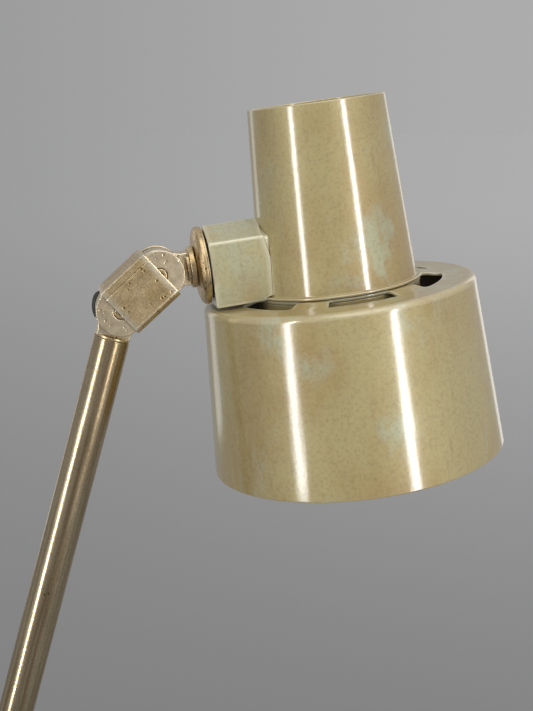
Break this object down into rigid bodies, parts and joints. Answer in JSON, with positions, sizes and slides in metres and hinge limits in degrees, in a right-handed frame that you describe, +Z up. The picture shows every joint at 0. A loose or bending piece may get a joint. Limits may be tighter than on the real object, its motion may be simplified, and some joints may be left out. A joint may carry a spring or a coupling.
{
  "type": "swing arm desk lamp",
  "caption": "Desk lamp with a round weighted base, two tubular arms on riveted double-pivot links, and a spun metal shade with a tapered neck and vent slots.",
  "frame": {"origin": "centre of the base's underside, on the table", "axes": "+Z up the swivel post; the arms swing in the XZ plane and the shade reaches out towards +X"},
  "size_m": [0.2722, 0.181, 0.7518],
  "materials": {
    "lacquer": "semi-gloss aged metallic lacquer, pale gold",
    "nickel": "aged warm nickel plate, pitted",
    "black_plastic": "satin",
    "cast_iron": "rough casting",
    "steel": "zinc plated",
    "brass": "satin",
    "rubber": "matt",
    "porcelain": "glazed",
    "bulb_glass": "frosted"
  },
  "bodies": {
    "base": {"base_cover": "lacquer", "base_pad": "rubber", "base_screw_1": "steel", "base_screw_2": "steel", "base_screw_3": "steel", "base_weight": "cast_iron", "swivel_bush": "brass", "cable_gland": "black_plastic", "switch_housing": "black_plastic"},
    "switch": {"switch_button": "nickel"},
    "post": {"swivel_post": "nickel", "post_washer": "steel", "post_nut": "steel", "tilt_bolt": "steel", "tilt_knob": "black_plastic"},
    "lower_arm": {"lower_arm_foot": "nickel", "lower_arm_top": "nickel", "lower_arm_tube": "nickel"},
    "elbow_link": {"elbow_back_plate": "nickel", "elbow_front_plate": "nickel", "elbow_lower_back_spacer": "black_plastic", "elbow_lower_front_spacer": "black_plastic", "elbow_lower_rivet": "nickel", "elbow_sleeve": "nickel", "elbow_upper_back_spacer": "black_plastic", "elbow_upper_front_spacer": "black_plastic", "elbow_upper_rivet": "nickel"},
    "upper_arm": {"upper_arm_foot": "nickel", "upper_arm_top": "nickel", "upper_arm_tube": "nickel"},
    "head_link": {"head_link_back_plate": "nickel", "head_link_front_plate": "nickel", "head_link_lead": "black_plastic", "head_link_lower_back_spacer": "black_plastic", "head_link_lower_front_spacer": "black_plastic", "head_link_lower_rivet": "nickel", "head_link_sleeve": "nickel", "head_link_upper_back_spacer": "black_plastic", "head_link_upper_front_spacer": "black_plastic", "head_link_upper_rivet": "nickel"},
    "stem": {"stem": "nickel", "stem_disc": "nickel"},
    "head": {"friction_washer": "black_plastic", "nipple_nut": "steel", "bracket": "lacquer", "neck_housing": "lacquer", "drum_shade": "lacquer", "vent_collar": "lacquer", "holder_nipple": "brass", "holder_nut": "brass", "lampholder": "porcelain", "holder_contact": "brass", "bulb_cap": "brass", "bulb_glass": "bulb_glass"}
  },
  "joints": [
    {"name": "base_swivel", "type": "hinge", "parent": "base", "child": "post", "pos_m": [0, 0, 0.03], "axis": [0, 0, 1], "range_deg": [-170, 170]},
    {"name": "lower_arm_tilt", "type": "hinge", "parent": "post", "child": "lower_arm", "pos_m": [0, 0, 0.064], "axis": [0, 1, 0], "range_deg": [-30, 60]},
    {"name": "elbow_lower_pivot", "type": "hinge", "parent": "lower_arm", "child": "elbow_link", "pos_m": [-0.08343, 0, 0.32078], "axis": [0, 1, 0], "range_deg": [-56, 23]},
    {"name": "elbow_upper_pivot", "type": "hinge", "parent": "elbow_link", "child": "upper_arm", "pos_m": [-0.08391, 0, 0.34338], "axis": [0, 1, 0], "range_deg": [-56, 23]},
    {"name": "head_lower_pivot", "type": "hinge", "parent": "upper_arm", "child": "head_link", "pos_m": [0.00539, 0, 0.66107], "axis": [0, 1, 0], "range_deg": [-72, 7]},
    {"name": "head_upper_pivot", "type": "hinge", "parent": "head_link", "child": "stem", "pos_m": [0.02218, 0, 0.67619], "axis": [0, 1, 0], "range_deg": [-74, 5]},
    {"name": "head_roll", "type": "hinge", "parent": "stem", "child": "head", "pos_m": [0.02218, 0, 0.67619], "axis": [0.9909, 0, 0.1349], "range_deg": [-160, 160]},
    {"name": "switch_press", "type": "slide", "parent": "base", "child": "switch", "axis": [0, 0, -1], "range_m": [0, 0.0025], "stiffness_N_per_m": 400, "springref_m": -0.001}
  ]
}
